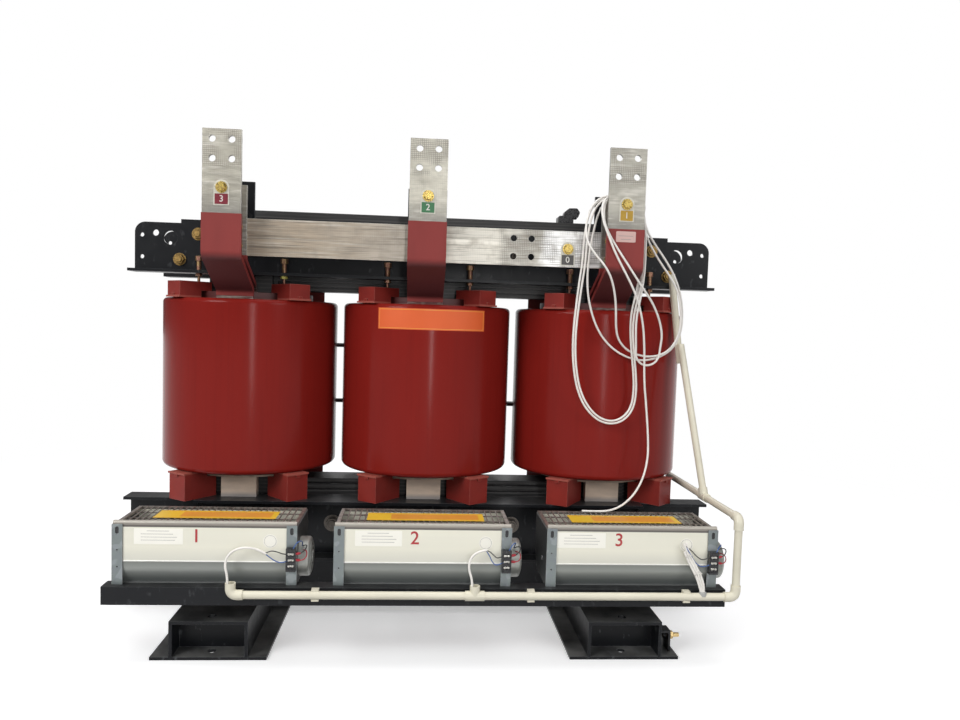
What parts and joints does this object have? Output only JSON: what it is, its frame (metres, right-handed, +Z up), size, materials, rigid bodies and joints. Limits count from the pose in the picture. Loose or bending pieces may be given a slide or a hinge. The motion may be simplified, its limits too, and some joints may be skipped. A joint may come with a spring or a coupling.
{
  "type": "dry type transformer",
  "caption": "Cast resin dry type power transformer on two base rails, with low voltage bars at the front and cross-flow cooling fans under the coils.",
  "frame": {"origin": "on the floor, at the centre of the four anchor holes of the base rails", "axes": "+X along the core towards the phase tagged a, +Y from the low voltage side with the fans to the high voltage side, +Z up"},
  "size_m": [1.706, 1.0605, 1.352],
  "materials": {
    "core_steel": "satin",
    "clamp_paint": "gloss",
    "board": "satin",
    "lv_block_board": "matte",
    "tie_steel": "satin",
    "yellow_zinc": "satin",
    "red_resin": "satin",
    "cream_resin": "satin",
    "pad_resin": "satin",
    "tinned_bar": "satin",
    "red_sleeve": "satin",
    "post_resin": "gloss",
    "tag": "satin",
    "black_plastic": "gloss",
    "guard_steel": "satin",
    "galvanised": "satin",
    "fan_skin": "satin",
    "fan_rotor": "satin",
    "motor_can": "satin",
    "white_conduit": "gloss",
    "white_cable": "satin",
    "brass_stud": "polished",
    "black_rod": "satin"
  },
  "bodies": {
    "transformer": {"core": "core_steel", "clamp_upper_front": "clamp_paint", "clamp_upper_rear": "clamp_paint", "clamp_lower_front": "clamp_paint", "clamp_lower_rear": "clamp_paint", "rail_left": "clamp_paint", "rail_right": "clamp_paint", "base_beams": "clamp_paint", "fan_shelf": "clamp_paint", "shelf_arms": "clamp_paint", "bar_brackets": "clamp_paint", "clamp_boards": "board", "lv_blocks": "lv_block_board", "tie_plates": "tie_steel", "clamp_studs": "yellow_zinc", "yoke_bolts": "yellow_zinc", "press_bolts": "yellow_zinc", "bar_bolts": "yellow_zinc", "earth_stud": "yellow_zinc", "hv_coil_1": "red_resin", "lv_coil_1": "cream_resin", "phase_bar_1": "tinned_bar", "fan_1_shell": "fan_skin", "fan_1_ends": "galvanised", "fan_cable_1": "white_cable", "hv_coil_2": "red_resin", "lv_coil_2": "cream_resin", "phase_bar_2": "tinned_bar", "fan_2_shell": "fan_skin", "fan_2_ends": "galvanised", "fan_cable_2": "white_cable", "hv_coil_3": "red_resin", "lv_coil_3": "cream_resin", "phase_bar_3": "tinned_bar", "fan_3_shell": "fan_skin", "fan_3_ends": "galvanised", "fan_cable_3": "white_cable", "lower_pads": "pad_resin", "upper_pads": "pad_resin", "phase_sleeves": "red_sleeve", "riser_sleeves": "red_sleeve", "neutral_risers": "tinned_bar", "neutral_bar": "tinned_bar", "bar_posts": "post_resin", "terminal_tags": "tag", "yoke_hook": "black_plastic", "fan_terminals": "black_plastic", "fan_guards": "guard_steel", "fan_motors": "motor_can", "conduit_pipes": "white_conduit", "conduit_fittings": "white_conduit", "conduit_clips": "white_conduit", "hv_tap_studs": "brass_stud", "hv_delta_bars": "black_rod", "probe_cable_a": "white_cable", "probe_cable_b": "white_cable", "probe_cable_c": "white_cable"},
    "fan_1_rotor": {"fan_1_impeller": "fan_rotor"},
    "fan_2_rotor": {"fan_2_impeller": "fan_rotor"},
    "fan_3_rotor": {"fan_3_impeller": "fan_rotor"}
  },
  "joints": [
    {"name": "fan_1_spin", "type": "hinge", "parent": "transformer", "child": "fan_1_rotor", "pos_m": [-0.536, -0.461, 0.262], "axis": [1, 0, 0], "continuous": true},
    {"name": "fan_2_spin", "type": "hinge", "parent": "transformer", "child": "fan_2_rotor", "pos_m": [0, -0.461, 0.262], "axis": [1, 0, 0], "continuous": true},
    {"name": "fan_3_spin", "type": "hinge", "parent": "transformer", "child": "fan_3_rotor", "pos_m": [0.536, -0.461, 0.262], "axis": [1, 0, 0], "continuous": true}
  ]
}
